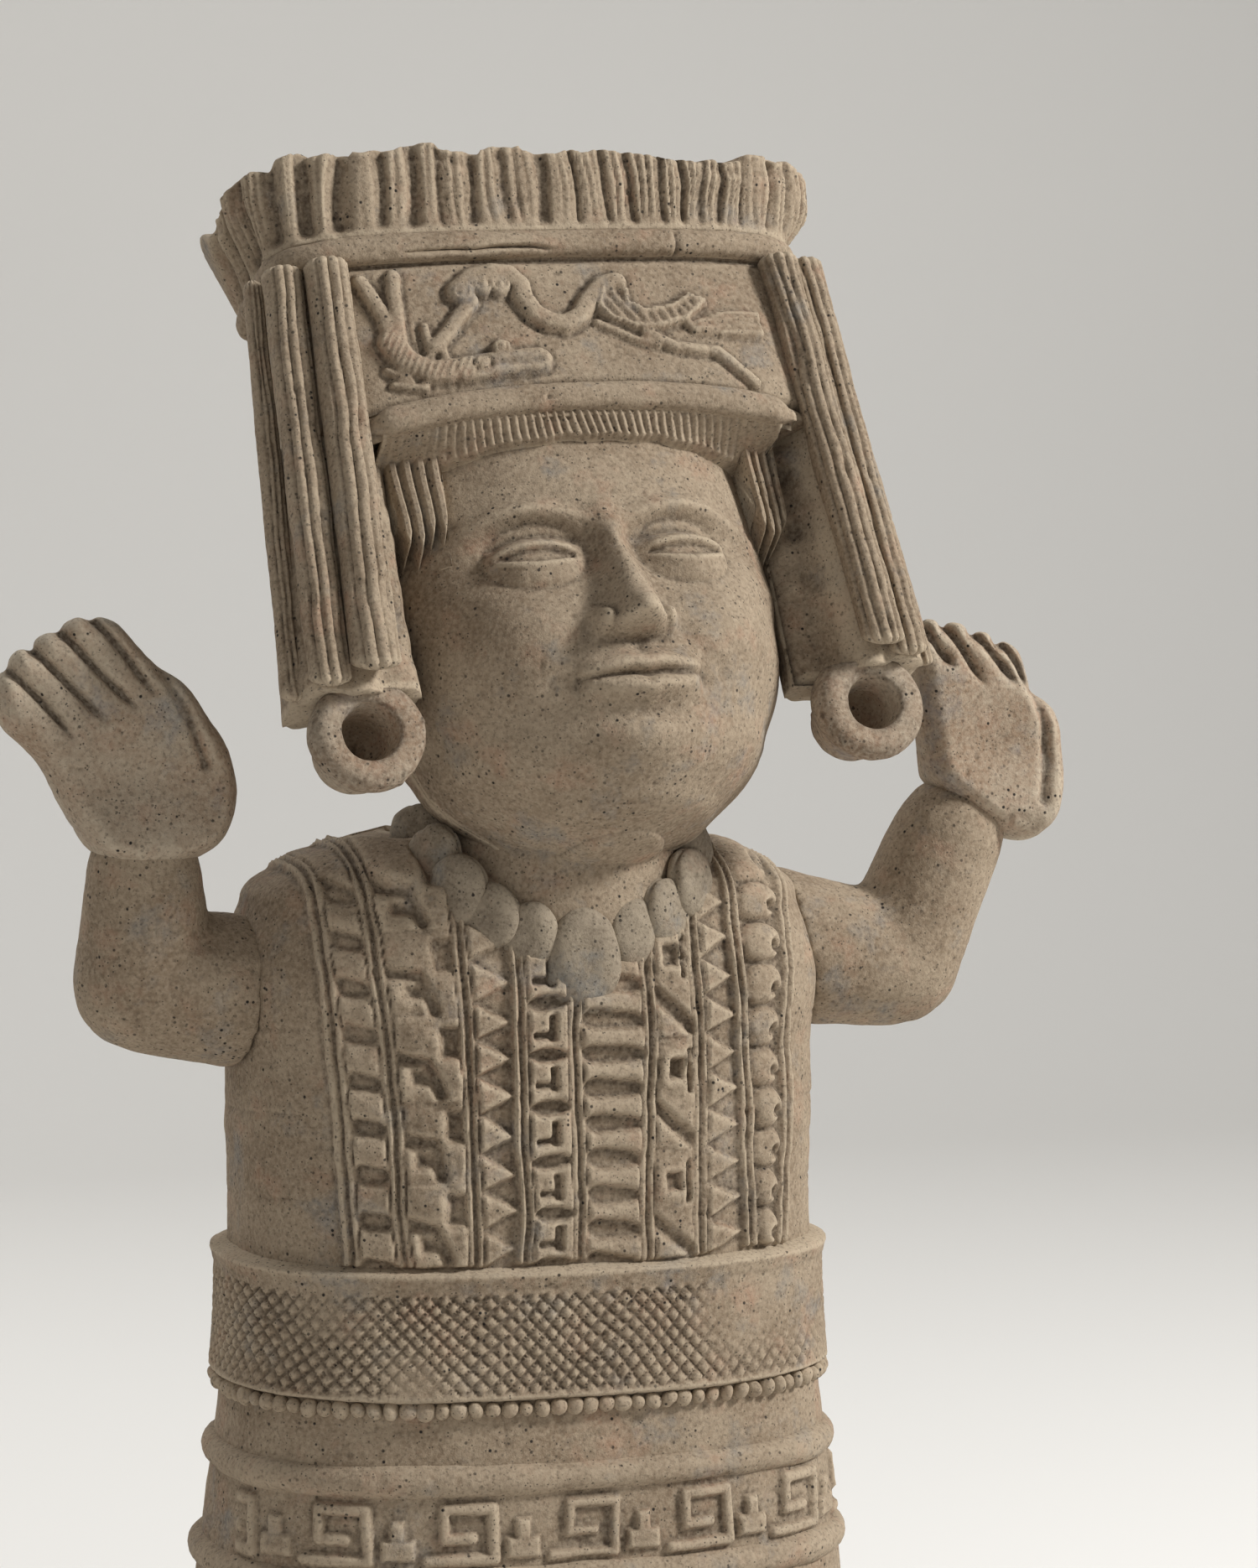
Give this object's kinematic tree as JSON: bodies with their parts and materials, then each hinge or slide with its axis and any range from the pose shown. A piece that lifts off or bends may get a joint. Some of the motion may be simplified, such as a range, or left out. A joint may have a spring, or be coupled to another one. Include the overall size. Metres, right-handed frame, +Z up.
{
  "type": "standing terracotta figure",
  "caption": "Standing hollow terracotta figure with raised hands, tilted head, block headdress with fluted crest, ear rings, necklace, patterned tunic, belt and skirt.",
  "frame": {"origin": "on the ground plane, under the middle of the figure's bounding box", "axes": "+Z up; the figure faces -Y; its own right hand is on -X"},
  "size_m": [0.2836, 0.1334, 0.4752],
  "materials": {
    "fired_clay": "fired clay, matt, grainy, grey-beige with dark specks, pinkish patches and dust in the hollows",
    "pale_clay": "fired clay, matt, paler and smoother from wear, with dark specks",
    "necklace_clay": "fired clay, matt, stained grey-blue, worn"
  },
  "bodies": {
    "root": {"skirt_front": "fired_clay", "skirt_back": "fired_clay", "torso_front": "fired_clay", "torso_back": "fired_clay", "belt": "fired_clay", "belt_beads": "fired_clay", "skirt_roll_1": "fired_clay", "skirt_roll_2": "fired_clay", "skirt_roll_3": "fired_clay", "skirt_roll_4": "fired_clay", "neck": "fired_clay", "pendant": "necklace_clay", "right_bead_1": "necklace_clay", "right_bead_2": "necklace_clay", "right_bead_3": "necklace_clay", "right_bead_4": "necklace_clay", "right_bead_5": "necklace_clay", "left_bead_1": "necklace_clay", "left_bead_2": "necklace_clay", "left_bead_3": "necklace_clay", "left_bead_4": "necklace_clay", "left_bead_5": "necklace_clay", "right_upper_arm": "fired_clay", "right_forearm": "fired_clay", "right_hand": "pale_clay", "left_upper_arm": "fired_clay", "left_forearm": "fired_clay", "left_hand": "pale_clay", "right_leg": "fired_clay", "left_leg": "fired_clay", "face": "fired_clay", "head_back": "fired_clay", "headdress_front": "fired_clay", "headdress_back": "fired_clay", "crest": "fired_clay", "upper_roll": "fired_clay", "lower_roll": "fired_clay", "hair_fringe": "fired_clay", "right_hair_roll_inner": "fired_clay", "right_hair_roll_outer": "fired_clay", "right_hair_roll_edge": "fired_clay", "right_hair_slab": "fired_clay", "right_temple_lock": "fired_clay", "right_ear_ring": "pale_clay", "left_hair_roll_inner": "fired_clay", "left_hair_roll_outer": "fired_clay", "left_hair_roll_edge": "fired_clay", "left_hair_slab": "fired_clay", "left_temple_lock": "fired_clay", "left_ear_ring": "pale_clay"}
  },
  "joints": []
}
